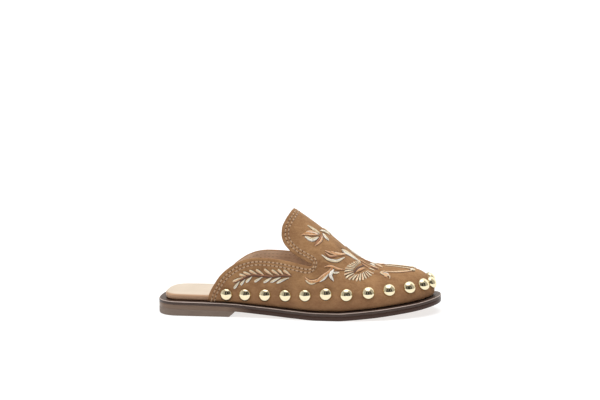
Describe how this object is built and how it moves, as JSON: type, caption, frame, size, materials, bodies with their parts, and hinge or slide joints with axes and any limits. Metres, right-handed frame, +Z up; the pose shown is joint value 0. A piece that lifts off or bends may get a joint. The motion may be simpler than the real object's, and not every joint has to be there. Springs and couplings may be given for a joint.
{
  "type": "mule",
  "caption": "Backless flat suede slip-on shoe with a tongue tab, low block heel, padded footbed and a row of domed studs round the foot.",
  "frame": {"origin": "centre of the bounding box at floor level", "axes": "+X to the toe, +Y to the inner side of the right foot, +Z up; the shoe stands on z = 0"},
  "size_m": [0.262, 0.0914, 0.0962],
  "materials": {
    "suede": "tan suede, napped",
    "footbed_leather": "smooth pale leather",
    "welt_leather": "burnished edge",
    "sole_leather": "dark burnished edge",
    "heel_rubber": "matt",
    "thread": "embroidery and stitching thread, cream to orange",
    "stud_brass": "polished pale gold"
  },
  "bodies": {
    "root": {"upper": "suede", "footbed": "footbed_leather", "welt": "welt_leather", "outsole": "sole_leather", "heel": "heel_rubber", "stud_01": "stud_brass", "stud_02": "stud_brass", "stud_03": "stud_brass", "stud_04": "stud_brass", "stud_05": "stud_brass", "stud_06": "stud_brass", "stud_07": "stud_brass", "stud_08": "stud_brass", "stud_09": "stud_brass", "stud_10": "stud_brass", "stud_11": "stud_brass", "stud_12": "stud_brass", "stud_13": "stud_brass", "stud_14": "stud_brass", "stud_15": "stud_brass", "stud_16": "stud_brass", "stud_17": "stud_brass", "stud_18": "stud_brass", "stud_19": "stud_brass", "stud_20": "stud_brass", "stud_21": "stud_brass", "stud_22": "stud_brass", "stud_23": "stud_brass"}
  },
  "joints": []
}
